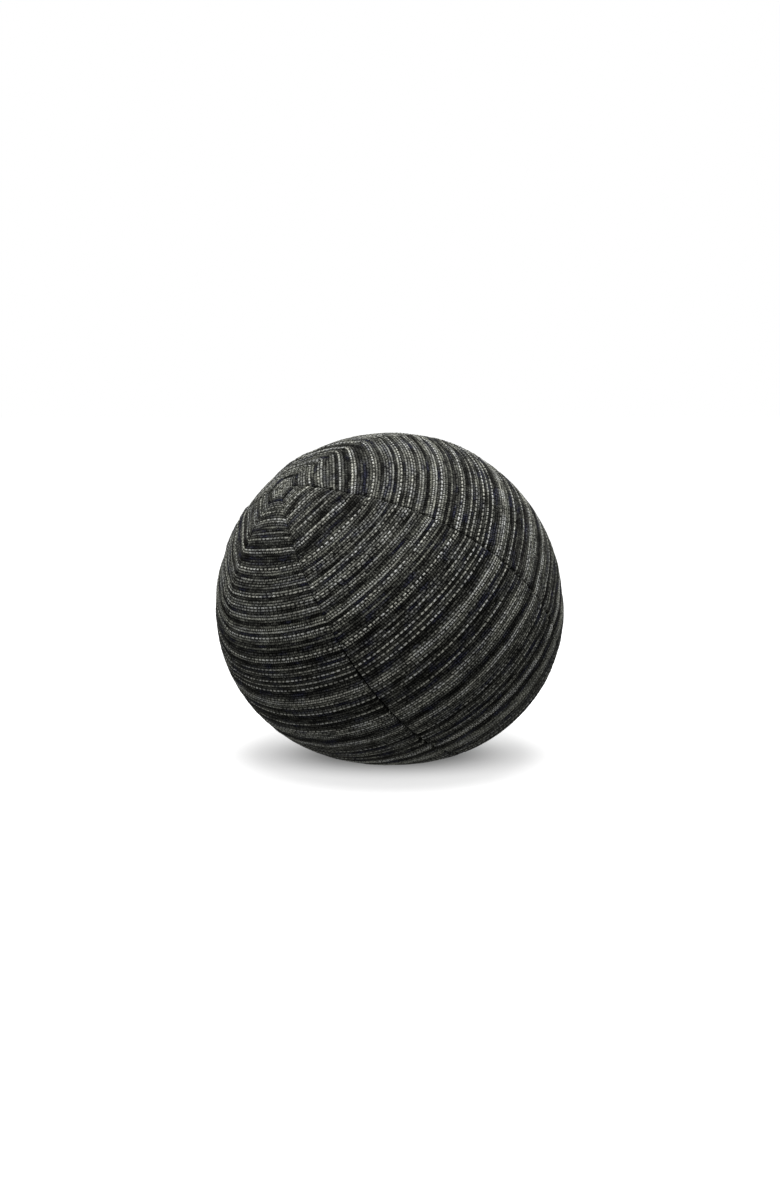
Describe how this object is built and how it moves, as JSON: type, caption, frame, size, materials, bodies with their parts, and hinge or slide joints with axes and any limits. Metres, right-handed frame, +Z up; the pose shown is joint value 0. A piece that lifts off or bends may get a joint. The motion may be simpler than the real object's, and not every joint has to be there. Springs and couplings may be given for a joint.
{
  "type": "ball cushion",
  "caption": "round scatter cushion with a striped woven cover of sewn gores, a concealed zip and a filled inner pad, resting on a flattened patch",
  "frame": {"origin": "centre of the flattened patch that the cushion rests on, straight below the ball's centre", "axes": "+Z up, square to the surface it rests on; -Y is the front, the side where three gores meet at the upper pole and the zip seam runs down; +X to the right seen from the front"},
  "size_m": [0.254, 0.254, 0.2395],
  "materials": {
    "cover_cloth": "thick flat-woven cloth with irregular charcoal, olive grey and navy black stripes and light dashed threads",
    "seam_thread": "black polyester sewing thread",
    "lining_cloth": "thin plain-woven off-white cloth",
    "lining_thread": "off-white sewing thread",
    "fibre_filling": "loose white polyester fibre",
    "label_cloth": "blank white satin ribbon",
    "zip_tape": "black knitted zip tape",
    "zip_coil": "black nylon coil",
    "stop_metal": "black painted metal",
    "slider_metal": "black painted zinc"
  },
  "bodies": {
    "cushion": {"cover_gore_1": "cover_cloth", "cover_gore_2": "cover_cloth", "cover_gore_3": "cover_cloth", "cover_gore_4": "cover_cloth", "cover_gore_5": "cover_cloth", "cover_gore_6": "cover_cloth", "seam_thread_1": "seam_thread", "seam_thread_2": "seam_thread", "seam_thread_3": "seam_thread", "seam_thread_4": "seam_thread", "seam_thread_5": "seam_thread", "seam_thread_6": "seam_thread", "liner_gore_1": "lining_cloth", "liner_gore_2": "lining_cloth", "liner_gore_3": "lining_cloth", "liner_gore_4": "lining_cloth", "liner_gore_5": "lining_cloth", "liner_gore_6": "lining_cloth", "liner_seam_threads": "lining_thread", "fibre_filling": "fibre_filling", "care_label": "label_cloth", "zip_tape_left": "zip_tape", "zip_tape_right": "zip_tape", "zip_stitching_left": "seam_thread", "zip_stitching_right": "seam_thread", "zip_teeth_left": "zip_coil", "zip_teeth_right": "zip_coil", "zip_closed_stops": "stop_metal", "zip_open_stop": "stop_metal"},
    "slider": {"zip_slider": "slider_metal"},
    "pull": {"zip_pull_tab": "slider_metal"}
  },
  "joints": [
    {"name": "zip_slider_travel", "type": "hinge", "parent": "cushion", "child": "slider", "pos_m": [-0.00376, -0.00153, 0.11758], "axis": [-0.8121, 0.2571, -0.5239], "range_deg": [0, 96]},
    {"name": "pull_tab_swing", "type": "hinge", "parent": "slider", "child": "pull", "pos_m": [0.07015, 0.01993, 0.01355], "axis": [-0.8121, 0.2571, -0.5239], "range_deg": [0, 180]}
  ]
}
